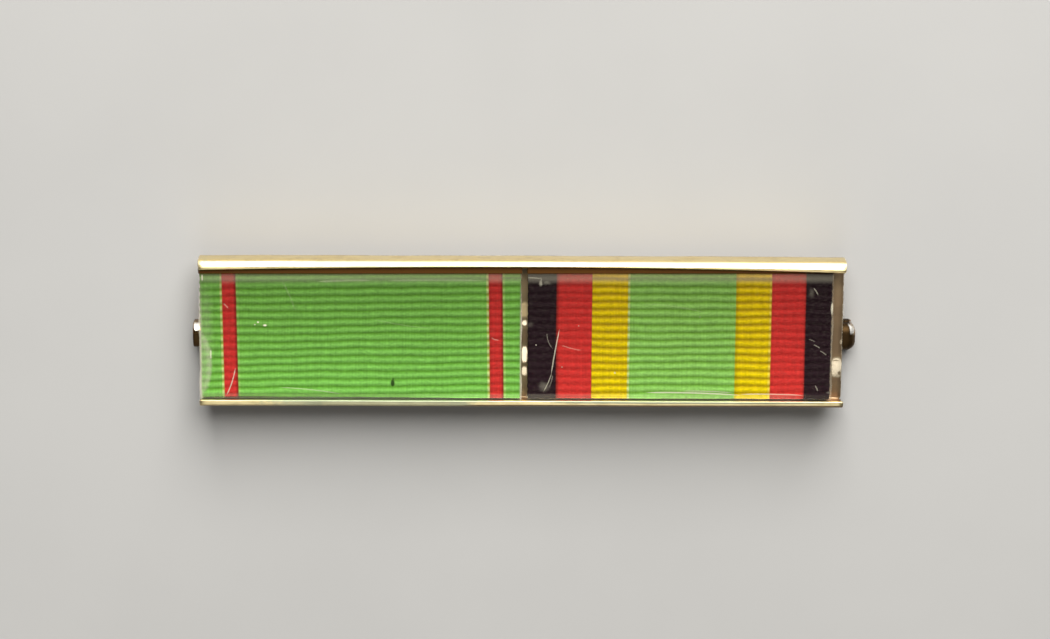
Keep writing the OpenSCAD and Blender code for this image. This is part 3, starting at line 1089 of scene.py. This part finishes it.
def channel_shape(sizes):
    """The rail: an end view of lip, fold, wall, fold, floor, fold, wall, fold and lip, carried along
    the bar."""
    half = sizes.sheet / 2
    radius = sizes.fold + half
    x0 = FILMS["left"][0][0] - sizes.inset
    x1 = FILMS["right"][1][0] + sizes.bare
    wall_y = RAIL_HIGH[1] - half
    top = RAIL_HIGH[2] - half
    bottom = RAIL_HIGH[2] - sizes.depth + half
    free = wall_y - half - sizes.lip
    fold = (radius * PI / 2, PI / 2)
    sides = []
    for lift, inner in ((sizes.lower_lift, sizes.lower_fold), (sizes.lift, sizes.lip_fold)):
        lip_radius = inner + half
        lip = (wall_y - lip_radius + lip_radius * math.sin(lift) - free) / math.cos(lift)
        wall = top - lip_radius * math.cos(lift) - lip * math.sin(lift) - bottom - radius
        sides.append(((lip, 0), (lip_radius * (PI / 2 - lift), PI / 2 - lift), (wall, 0), fold))
    legs = (*sides[0], (2 * (wall_y - radius), 0), *sides[1][::-1])
    across = with_edges(leg_marks(legs, (4, 12, 8, 9, 44, 9, 8, 12, 6)), sizes.edge)
    along = x0 + with_edges(np.linspace(0, x1 - x0, 121), sizes.edge)
    profile, facing = follow((-free, top), PI + sizes.lower_lift, legs, across)
    middle, normals = carried(profile, facing, along)
    # The upper lip reaches further at the ends, as the square of the distance from the middle, and most
    # at the right
    on_lip = np.clip((across - across[-1] + lip) / lip, 0, 1)[None, :]
    at = run(middle[..., 0])
    more_at_right, rise = 0.18, 0.27
    reach = sizes.flare * at ** 2 * (1 + more_at_right * at) * on_lip
    middle[..., 1] -= reach
    middle[..., 2] += reach * rise
    # The ends stand back in round corners at the lips' edges and at the two folds of the floor
    ends = np.cumsum([leg[0] for leg in legs])
    side = np.minimum(across, across[-1] - across)
    fold_at = np.abs(side - (ends[2] + ends[3]) / 2)
    cut = np.maximum(corner_cut(side, 0.5 * sizes.corner), corner_cut(fold_at, sizes.corner))[None, :]
    at_ends = np.clip((along - (x0 + x1) / 2) / (x1 - x0) * 2, -1, 1)[:, None] ** 15
    middle[..., 0] -= cut * at_ends
    middle = settled(middle, sizes.bow)
    # Slow unevenness of hand-folded sheet: two sines along the bar, which differ along the end view
    s = (along - x0)[:, None] / (x1 - x0) * 2 * PI
    t = across[None, :] / across[-1] * 2 * PI
    height = 0.010 * MM
    uneven = height * (np.sin(3.1 * s + 2 * t) + 0.7 * np.sin(7.3 * s - 3 * t + 1.0))
    middle = middle + normals * uneven[..., None]
    return rounded_sheet(middle, normals, along, across, half, half, sizes.edge)


def hook_shape(sizes, back):
    """The hook: a strip that goes from its rim under the needle, up the far side, over the top, against
    the rail's back, and down to its mouth."""
    half = sizes.hook_sheet / 2
    radius = sizes.hook_round - half
    side = sizes.hook_width / 2 - half
    top = back - half
    flat = 2 * (side - radius)
    upright = top - half - 2 * radius
    last = math.acos(1 - (top - sizes.mouth_top) / radius)
    first = math.radians(70)
    bend = (radius * PI / 2, PI / 2)
    legs = ((radius * first, first), (flat, 0), bend, (upright, 0), bend, (flat, 0), (radius * last, last))
    start = (-side + radius - radius * math.sin(first), half + radius - radius * math.cos(first))
    across_edge, end_edge = 0.1 * MM, 0.12 * MM
    across = with_edges(leg_marks(legs, (9, 3, 12, 4, 12, 3, 10)), across_edge)
    along = RAIL_LOW[0] + with_edges(np.linspace(0, sizes.hook_length, 13), end_edge)
    profile, facing = follow(start, -first, legs, across)
    middle, normals = carried(profile + [FITTINGS_Y, 0], facing, along)
    return rounded_sheet(middle, normals, along, across, half, half, end_edge)


def hinge_end_shape(sizes, top):
    """The hinge's knuckle: a rounded tub, open below and towards the bar's middle. Each end view is a
    side, a shoulder, the top, a shoulder and a side. Towards its end the end views draw in along a
    quarter circle, and then close on the flat end. Its sides hang down as two ears that are round about
    the rivet."""
    half = sizes.hinge_sheet / 2
    x1, wide, bend = RAIL_HIGH[0], sizes.hinge_width / 2, sizes.hinge_round
    ear = NEEDLE_Z
    pivot = x1 - ear
    x0 = pivot - 2.0 * ear
    # Places along the knuckle: even ones, those round its bend, and those that close its end
    even = np.linspace(x0, x1 - bend, 17, endpoint=False)
    turn = np.linspace(0, PI / 2, 13)
    shut = np.linspace(0, 1, 6)[1:]
    x = np.concatenate([even, x1 - bend + bend * np.sin(turn), x1 + 0 * shut])
    drawn_in = np.concatenate([0 * even, bend * (1 - np.cos(turn)), bend + 0 * shut])
    closing = np.concatenate([0 * even, 0 * turn, shut]) * (wide - bend)
    reach = wide - drawn_in - closing
    crown = top - drawn_in - closing * 0.8
    # The ears' lower edge, a circle about the rivet that goes on as a slope towards the bar's middle
    round_part, slope = 0.85, 1.6
    away = np.clip((x - pivot) / ear, -round_part, 1)
    skirt = NEEDLE_Z - ear * np.sqrt(1 - away ** 2) + np.clip(pivot - round_part * ear - x, 0, None) * slope
    corner = np.maximum(np.minimum(bend - drawn_in, crown - skirt - 0.1 * MM), 0.02 * MM)
    arc = np.linspace(0, PI / 2, 11)
    down = np.linspace(0, 1, 12, endpoint=False)[None, :]
    flat = np.linspace(0, 1, 5)[None, 1:]
    side_y = -reach[:, None] + 0 * down
    side_z = skirt[:, None] + (crown - corner - skirt)[:, None] * down
    corner = np.minimum(corner, reach)[:, None]
    arc_y = -reach[:, None] + corner * (1 - np.cos(arc))[None, :]
    arc_z = (crown[:, None] - corner) + corner * np.sin(arc)[None, :]
    y = np.concatenate([side_y, arc_y, (corner - reach[:, None]) * (1 - flat)], axis=1)
    z = np.concatenate([side_z, arc_z, crown[:, None] + 0 * flat], axis=1)
    y = np.concatenate([y, -y[:, -2::-1]], axis=1) + FITTINGS_Y
    z = np.concatenate([z, z[:, -2::-1]], axis=1)
    skin = stacked(x[:, None], y, z)
    normals = -grid_normals(skin)
    normals[-1] = (1, 0, 0)
    steps = np.linalg.norm(np.diff(skin, axis=1), axis=2)
    bend_row = 20
    across = np.concatenate([[0], np.cumsum(steps[bend_row])])
    straight = x1 - bend - x0
    along = np.concatenate([even - x0, straight + bend * turn, straight + bend * PI / 2 + shut * MM])
    return rounded_sheet(skin - normals * half, normals, along, across, half, half, 0.1 * MM, open_end=True)


def slab_shape(low, high, edge):
    """A flat plate between two corners, whose thickness falls off along a quarter circle near its
    edges."""
    along = with_edges(np.linspace(0, high[0] - low[0], 9), edge)
    across = with_edges(np.linspace(0, high[1] - low[1], 7), edge)
    middle = stacked(low[0] + along[:, None], low[1] + across[None, :], (low[2] + high[2]) / 2)
    normals = np.zeros_like(middle)
    normals[..., 2] = 1
    half = (high[2] - low[2]) / 2
    return rounded_sheet(middle, normals, along, across, half, half, edge)


def hinge_shape(sizes, back):
    """The hinge: a plate under the rail, let a little into its solder, and the knuckle at its end."""
    short, let_in, edge = 1.2 * MM, 0.05 * MM, 0.14 * MM
    low = (RAIL_HIGH[0] - sizes.hinge_length, FITTINGS_Y - sizes.hinge_width / 2, back - sizes.hinge_sheet)
    high = (RAIL_HIGH[0] - short, FITTINGS_Y + sizes.hinge_width / 2, back + let_in)
    return joined(slab_shape(low, high, edge), hinge_end_shape(sizes, back))


def rivet_shape(sizes):
    """The rivet, turned about its own line across the bar: a low dome, its shank, and a low dome."""
    reach = sizes.hinge_width / 2
    head = sizes.rivet_head / 2
    dome = np.linspace(0.08, PI / 2, 9)
    dome_height = 0.12 * MM
    out_y = reach + dome_height * np.cos(dome)
    out_r = head * np.sin(dome) ** 0.8
    step_y, step_r = np.array([reach, reach]), np.array([head * 0.97, sizes.rivet / 2])
    y = np.concatenate([out_y, step_y, -step_y[::-1], -out_y[::-1]])
    r = np.concatenate([out_r, step_r, step_r[::-1], out_r[::-1]])
    turn = circle(40)
    pivot = RAIL_HIGH[0] - NEEDLE_Z
    return turned(stacked(pivot + r[:, None] * np.cos(turn), FITTINGS_Y + y[:, None],
                          NEEDLE_Z + r[:, None] * np.sin(turn)))


def solder_shape(low, high, size, back):
    """A bead of solder round a rectangle's edge: a low oval carried round it, which swells and thins by
    sines."""
    turn = circle(160)
    square_x, square_y = squared(turn, 0.35)
    x = (low[0] + high[0]) / 2 + (high[0] - low[0]) / 2 * square_x
    y = (low[1] + high[1]) / 2 + (high[1] - low[1]) / 2 * square_y
    round_it = circle(12)[None]
    swell = 0.14 * np.sin(3 * turn + 1) + 0.10 * np.sin(7 * turn) + 0.07 * np.sin(17 * turn + 2)
    thick = size * (0.62 + swell)
    out = thick[:, None] * np.cos(round_it)
    height = 0.7
    return looped(stacked(x[:, None] + out * np.cos(turn)[:, None],
                          y[:, None] + out * np.sin(turn)[:, None],
                          back + thick[:, None] * height * np.sin(round_it)))


def needle_shape(sizes):
    """The needle: a shank whose radius rises from its tip as a root does and whose end flattens into a
    ring."""
    radius = sizes.needle / 2
    pivot = RAIL_HIGH[0] - NEEDLE_Z
    flattening = 1.6 * MM
    neck = pivot - 0.5 * MM - flattening
    tip = NEEDLE_LOW[0]
    grow = np.linspace(0, 1, 22) ** 1.6
    point_r = radius * (0.06 + 0.94 * np.sin(grow * PI / 2) ** 0.85)
    point_r[0] = radius * 0.03
    shank = np.linspace(tip + sizes.point, neck, 24)[1:]
    end = np.linspace(0, 1, 10)[1:]
    x = np.concatenate([tip + sizes.point * grow, shank, neck + flattening * end])
    r = np.concatenate([point_r, np.full(len(shank) + len(end), radius)])
    ease = np.concatenate([np.zeros(len(point_r) + len(shank)), end ** 2 * (3 - 2 * end)])
    turn = circle(28)
    wide, tall = r * (1 + 0.55 * ease), r * (1 - 0.18 * ease)
    wire = turned(stacked(x[:, None], FITTINGS_Y + wide[:, None] * np.cos(turn),
                          NEEDLE_Z + tall[:, None] * np.sin(turn)))
    turn = circle(48)[:, None]
    hole, wall, eye = 0.35 * MM, 0.3 * MM, 1.16 * MM
    off, across = squared(circle(20), 0.45)
    ring_r = (hole + wall / 2 + off * wall / 2)[None]
    ring = stacked(pivot + ring_r * np.cos(turn), FITTINGS_Y + across[None] * eye / 2,
                   NEEDLE_Z + ring_r * np.sin(turn))
    return joined(wire, looped(ring))


def rib_height(place, rib):
    """A rib's height from 0 to 1: half of one less the cosine of the place in ribs, with a rounder top
    than foot."""
    return (0.5 - 0.5 * np.cos(2 * PI * place / rib)) ** 0.8


# How far the ribs are moved along their ribbons
RIB_SHIFT = 0.045 * MM


def ribbon_shape(side, sizes, bow):
    """A ribbon wound round flat in three layers: a middle one, a round turn at the upper side to the
    top one, two sharp bends at the lower side, and a bottom one. Its outer face has a rib every rib's
    distance, and its woven edges are scalloped by the ribs."""
    low, high = RIBBONS[side]
    half, layer, crease = sizes.thickness / 2, sizes.layer, sizes.crease
    edge, easing = 0.05 * MM, 0.2 * MM
    upper_y, lower_y = high[1] - half - layer / 2, high[1] - half - crease
    sharp = (crease * PI / 2, PI / 2)
    legs = ((upper_y + 0.8 * lower_y, 0), (layer / 2 * PI, PI), (upper_y + lower_y, 0), sharp,
            (2 * (layer - crease), 0), sharp, (lower_y + upper_y - easing, 0))
    start = (upper_y - legs[0][0], high[2] - half - layer)
    across = with_edges(leg_marks(legs, (24, 14, int(legs[2][0] / sizes.rib * 12), 12, 6, 12, 40)), edge)
    along = low[0] + with_edges(np.linspace(0, high[0] - low[0], 64), edge)
    profile, facing = follow(start, 0, legs, across)
    middle, normals = carried(profile, facing, along)
    # Distance along the ribbon, measured from the bar's middle on the top layer
    zero = legs[0][0] + legs[1][0] + upper_y
    turn = sizes.skew if side == "left" else 0.0
    place = (across - zero)[None, :] + turn * (along[:, None] - GAP_X) + RIB_SHIFT
    x, y = (along[:, None] - GAP_X) / MM, (across - zero)[None, :] / MM
    slow, quick = np.sin(0.43 * x + 0.7 * y) * np.sin(0.31 * y + 1), 0.4 * np.sin(1.7 * x - 0.8 * y)
    place = place + sizes.waver * (slow + quick)
    ribs_up = rib_height(place, sizes.rib)
    tall = 1 + 0.18 * np.sin(0.9 * x + 4.1 * y) * np.sin(0.37 * x - 2.3 * y)
    front = half + sizes.relief * (ribs_up * tall - 1)
    # The upper of the two sharp bends is squarer than round: it stands out most at its middle
    bends = np.cumsum([leg[0] for leg in legs])[2:6]
    squareness = 0.05 * MM
    in_bend = np.clip((across - bends[0]) / (bends[1] - bends[0]), 0, 1)
    front = front + squareness * np.sin(PI * in_bend) ** 2
    scallop, fading = 0.03 * MM, 0.25 * MM
    from_end = np.minimum(along - along[0], along[-1] - along)[:, None]
    ends = np.where(along < (low[0] + high[0]) / 2, -1, 1)[:, None] * np.exp(-from_end / fading)
    middle[..., 0] += ends * scallop * np.cos(2 * PI * place / sizes.rib)
    middle = settled(middle, bow)
    pattern = np.stack([along[:, None] - GAP_X - turn * (across - zero)[None, :], place], axis=-1)
    # The inside is squeezed in the sharp bends
    least = crease * 0.8 / half
    squeezed = np.interp(across, [bends[0] - easing, bends[0], bends[3], bends[3] + easing],
                         [1, least, least, 1])
    back = (half - 0.02 * MM) * squeezed[None, :]
    return rounded_sheet(middle, normals, along, across, front, back, edge, pattern)


def film_shape(side, sizes, bow):
    """A film: its end view goes up one side, over the face and down the other, carried along the bar.
    Its face has slow waves, which are strongest at its ends."""
    low, high = FILMS[side]
    half = sizes.thickness / 2
    radius = sizes.fold + half
    y_out, top = high[1] - half, high[2] - half
    side, bend = (top - radius - low[2], 0), (radius * PI / 2, PI / 2)
    legs = (side, bend, (2 * (y_out - radius), 0), bend, side)
    edge = 0.07 * MM
    across = with_edges(leg_marks(legs, (6, 9, 48, 9, 6)), edge)
    along = low[0] + with_edges(np.linspace(0, high[0] - low[0], 81), edge)
    profile, facing = follow((y_out, low[2]), PI / 2, legs, across)
    middle, normals = carried(profile, facing, along)
    t = profile[None, :, 0] / MM
    x = along[:, None] / MM
    face = np.clip(normals[..., 2], 0, 1) * np.clip((5.4 - np.abs(t)) / 0.8, 0, 1)
    near = np.exp(-np.minimum(x - x[0], x[-1] - x) / 1.5)
    wave = np.sin(0.55 * x + 0.5 * t) + 0.6 * np.sin(1.3 * x - 0.9 * t) + near * np.sin(1.9 * t + 0.4)
    middle = middle + normals * (sizes.wave * wave * face)[..., None]
    uneven = 0.05 * MM * np.sin(1.1 * t + 0.7) + 0.03 * MM * np.sin(2.7 * t)
    sign = np.where(along < (low[0] + high[0]) / 2, -1, 1)[:, None]
    middle[..., 0] += sign * near * uneven * 0.6
    middle = settled(middle, bow)
    return rounded_sheet(middle, normals, along, across, half, half, edge)


# Operators

class BAR_OT_rail(bpy.types.Operator):
    """Folds the rail from brass sheet."""
    bl_idname = "ribbon_bar.rail"
    bl_label = "Rail"

    def execute(self, context):
        sizes = context.scene.bar_rail
        gilt = gilt_material(context.scene.bar_finishes, sizes)
        put_mesh("rail_channel", channel_shape(sizes), gilt, "rail")
        return {"FINISHED"}


class BAR_OT_fittings(bpy.types.Operator):
    """Makes the hook, the hinge and its rivet, and the solder that holds them."""
    bl_idname = "ribbon_bar.fittings"
    bl_label = "Hook and Hinge"

    def execute(self, context):
        sizes, finishes = context.scene.bar_fittings, context.scene.bar_finishes
        stain_and_shade = stained_material(finishes)
        back = RAIL_HIGH[2] - context.scene.bar_rail.depth
        for name, whole in (("rail_hook", hook_shape(sizes, back)),
                            ("rail_hinge", hinge_shape(sizes, back)),
                            ("rail_rivet", rivet_shape(sizes))):
            put_mesh(name, whole, stain_and_shade, "rail")
        # Beads round the hook's top and round the hinge's plate
        for_hook, for_knuckle, sunk = 0.5 * MM, 1.3 * MM, 0.02 * MM
        rows = ((FILMS["left"][0][0], RAIL_LOW[0] + sizes.hook_length, for_hook),
                (RAIL_HIGH[0] - sizes.hinge_length, RAIL_HIGH[0] - for_knuckle, sizes.hinge_width / 2))
        beads = [solder_shape((x0, FITTINGS_Y - wide), (x1, FITTINGS_Y + wide), sizes.solder, back - sunk)
                 for x0, x1, wide in rows]
        put_mesh("rail_solder", joined(*beads), solder_material(finishes), "rail")
        return {"FINISHED"}


class BAR_OT_needle(bpy.types.Operator):
    """Draws the needle, from its point to its eye round the rivet."""
    bl_idname = "ribbon_bar.needle"
    bl_label = "Needle"

    def execute(self, context):
        wire = wire_material(context.scene.bar_finishes)
        put_mesh("needle_wire", needle_shape(context.scene.bar_fittings), wire, "needle")
        return {"FINISHED"}


class BAR_OT_ribbons(bpy.types.Operator):
    """Winds the two ribbons."""
    bl_idname = "ribbon_bar.ribbons"
    bl_label = "Ribbons"

    def execute(self, context):
        scene = context.scene
        sizes, finishes = scene.bar_ribbons, scene.bar_finishes
        for side, slot, ground, stripes, spots in (
                ("left", "ribbon_green", finishes.green, LEFT_STRIPES, DARK_SPOTS),
                ("right", "ribbon_striped", finishes.second_green, RIGHT_STRIPES, ())):
            cloth = ribbon_material("Ribbon " + side, finishes, ground, sizes, stripes, spots)
            whole = ribbon_shape(side, sizes, scene.bar_rail.bow)
            piece = put_mesh(f"ribbon_{side}_wound", whole, cloth, "ribbon_" + side)
        return {"FINISHED"}


class BAR_OT_films(bpy.types.Operator):
    """Bends the two clear films over the ribbons."""
    bl_idname = "ribbon_bar.films"
    bl_label = "Films"

    def execute(self, context):
        scene = context.scene
        for side in FILMS:
            whole = film_shape(side, scene.bar_films, scene.bar_rail.bow)
            clear = film_material(side, scene.bar_finishes)
            put_mesh(f"film_{side}_bent", whole, clear, "film_" + side)
        return {"FINISHED"}


def add_light(name, from_zenith, along, distance, size, brightness):
    """A soft rectangular light that faces the bar. Its place is given by its angle from straight above,
    towards +Y, and its angle along the bar, towards +X, both in degrees. Brightness is its radiance: an
    area light of power P has a radiance of P / (pi * area)."""
    light = bpy.data.lights.new(name, "AREA")
    light.shape = "RECTANGLE"
    light.size, light.size_y = size
    light.energy = brightness * size[0] * size[1] * PI
    piece = bpy.data.objects.new(name, light)
    up, side = math.radians(from_zenith), math.radians(along)
    way = Vector((math.sin(side), math.sin(up) * math.cos(side), math.cos(up) * math.cos(side)))
    piece.location = way * distance
    piece.rotation_euler = Euler((-up, 0, 0)) if not along else way.to_track_quat("Z", "Y").to_euler()
    piece.visible_camera = False
    bpy.context.scene.collection.objects.link(piece)


class BAR_OT_stage(bpy.types.Operator):
    """Sets the camera, the floor and the lights."""
    bl_idname = "ribbon_bar.stage"
    bl_label = "Stage"

    def execute(self, context):
        scene, stage = context.scene, context.scene.bar_stage
        camera = bpy.data.objects.new("Camera", bpy.data.cameras.new("Camera"))
        camera.data.sensor_width, camera.data.lens = 36, stage.lens
        camera.data.clip_start, camera.data.clip_end = 0.01, 20
        turn = Euler((-stage.tilt, stage.lean, stage.roll))
        camera.rotation_euler = turn
        aim = Vector(stage.aim) + Vector((GAP_X, 0, 0))
        camera.location = aim + turn.to_matrix() @ Vector((0, 0, stage.distance))
        scene.collection.objects.link(camera)
        scene.camera = camera

        mesh = bpy.data.meshes.new("Floor")
        reach = 1.5
        square = [(-reach, -reach, 0), (reach, -reach, 0), (reach, reach, 0), (-reach, reach, 0)]
        mesh.from_pydata(square, [], [(0, 1, 2, 3)])
        mesh.materials.append(floor_material(stage.floor))
        floor = bpy.data.objects.new("Floor", mesh)
        scene.collection.objects.link(floor)

        add_light("Key", 45, 6, 0.5, (0.36, 0.46), stage.key)
        add_light("Near strip", -28, 0, 0.5, (0.20, 0.16), stage.near)
        add_light("Low strip", -56, 0, 0.5, (0.20, 0.36), stage.low)
        add_light("Low card", 78, 0, 0.5, (0.60, 0.18), stage.card)
        world = bpy.data.worlds.new("Dim studio")
        world.use_nodes = True
        background = world.node_tree.nodes["Background"].inputs
        background["Color"].default_value = (0.92, 0.96, 1.0, 1)
        background["Strength"].default_value = stage.sky
        scene.world = world
        scene.view_settings.view_transform = "Standard"
        return {"FINISHED"}


GROUPS = {"bar_rail": RailSizes, "bar_fittings": FittingSizes, "bar_ribbons": RibbonSizes,
          "bar_films": FilmSizes, "bar_finishes": Finishes, "bar_stage": StageSettings}
OPERATORS = (BAR_OT_rail, BAR_OT_fittings, BAR_OT_needle, BAR_OT_ribbons, BAR_OT_films, BAR_OT_stage)


class BAR_PT_panel(bpy.types.Panel):
    """Lists the bar's sizes and colours, and a button for each piece."""
    bl_idname = "BAR_PT_panel"
    bl_label = "Ribbon Bar"
    bl_space_type = "VIEW_3D"
    bl_region_type = "UI"
    bl_category = "Ribbon Bar"

    def draw(self, context):
        for key, kind in GROUPS.items():
            box = self.layout.box()
            box.label(text=kind.__doc__)
            for name in kind.__annotations__:
                box.prop(getattr(context.scene, key), name)
        for operator in OPERATORS:
            self.layout.operator(operator.bl_idname)


def register():
    for kind in (*GROUPS.values(), *OPERATORS, BAR_PT_panel):
        bpy.utils.register_class(kind)
    for key, kind in GROUPS.items():
        setattr(bpy.types.Scene, key, PointerProperty(type=kind))


def unregister():
    for key in GROUPS:
        delattr(bpy.types.Scene, key)
    for kind in (BAR_PT_panel, *OPERATORS[::-1], *reversed(GROUPS.values())):
        bpy.utils.unregister_class(kind)


def main():
    """Builds the bar and its stage."""
    register()
    bpy.ops.ribbon_bar.stage()
    bpy.ops.ribbon_bar.rail()
    bpy.ops.ribbon_bar.fittings()
    bpy.ops.ribbon_bar.needle()
    bpy.ops.ribbon_bar.ribbons()
    bpy.ops.ribbon_bar.films()


if __name__ == "__main__":
    main()
